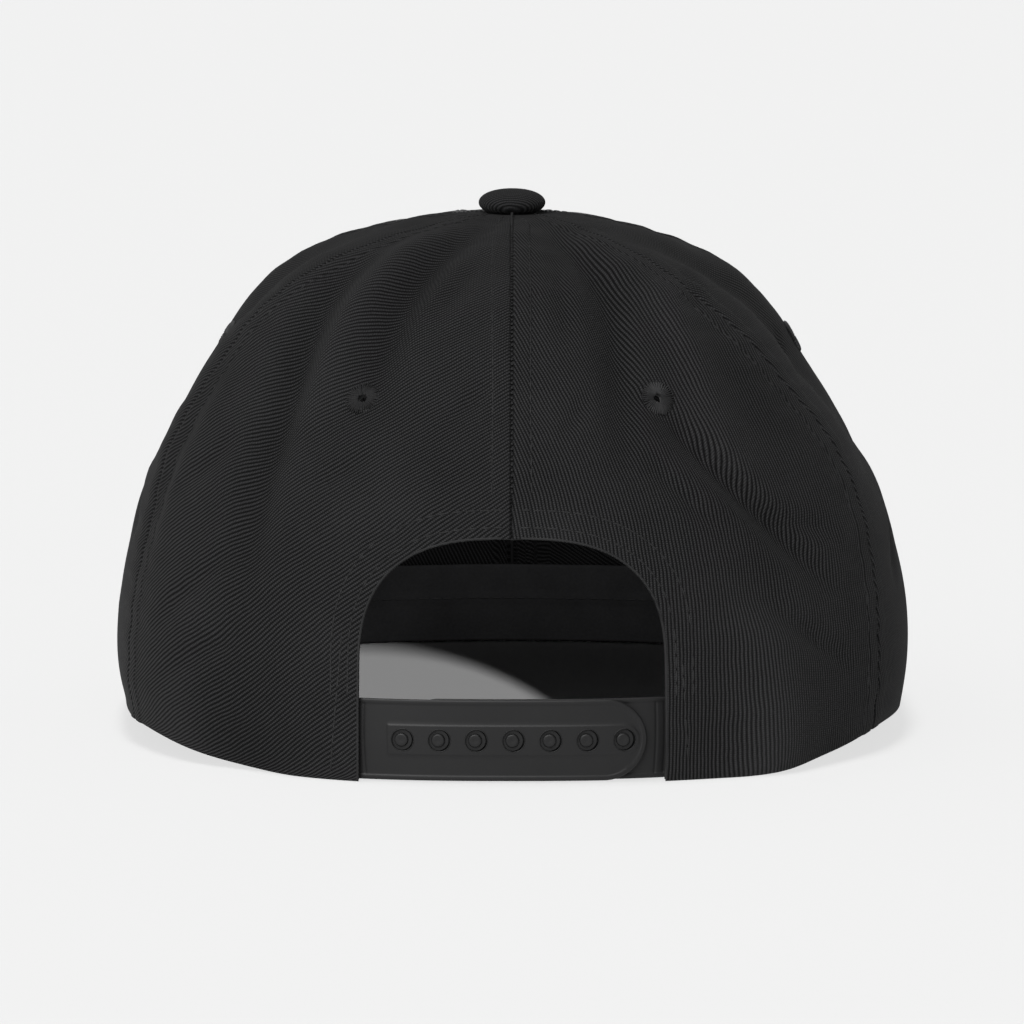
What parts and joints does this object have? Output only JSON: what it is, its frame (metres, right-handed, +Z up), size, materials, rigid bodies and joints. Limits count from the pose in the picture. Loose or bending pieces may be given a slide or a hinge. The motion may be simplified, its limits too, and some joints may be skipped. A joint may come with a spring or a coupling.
{
  "type": "snapback cap",
  "caption": "Structured panelled cap with a flat brim, a covered top button, stitched eyelets, a sweatband and a fastened plastic snap strap under a rear arch.",
  "frame": {"origin": "on the surface that the cap rests on, under the middle of its length and width", "axes": "+Z up through the button, +Y towards the brim's tip, +X to the right side as seen from behind"},
  "size_m": [0.1874, 0.2687, 0.1249],
  "materials": {
    "twill": "black cotton twill, matt, with fine diagonal ribs",
    "thread": "black sewing thread in satin stitches",
    "strap": "smooth black moulded plastic with a soft sheen",
    "band": "black plain-woven cotton band"
  },
  "bodies": {
    "root": {"panel_rear_left": "twill", "panel_rear_right": "twill", "panel_side_left": "twill", "panel_side_right": "twill", "panel_front_left": "twill", "panel_front_right": "twill", "eyelet_rear_left": "thread", "eyelet_rear_right": "thread", "eyelet_side_left": "thread", "eyelet_side_right": "thread", "eyelet_front_left": "thread", "eyelet_front_right": "thread", "top_button": "twill", "strap_with_holes": "strap", "strap_with_pegs": "strap", "sweatband": "band", "brim": "twill"}
  },
  "joints": []
}
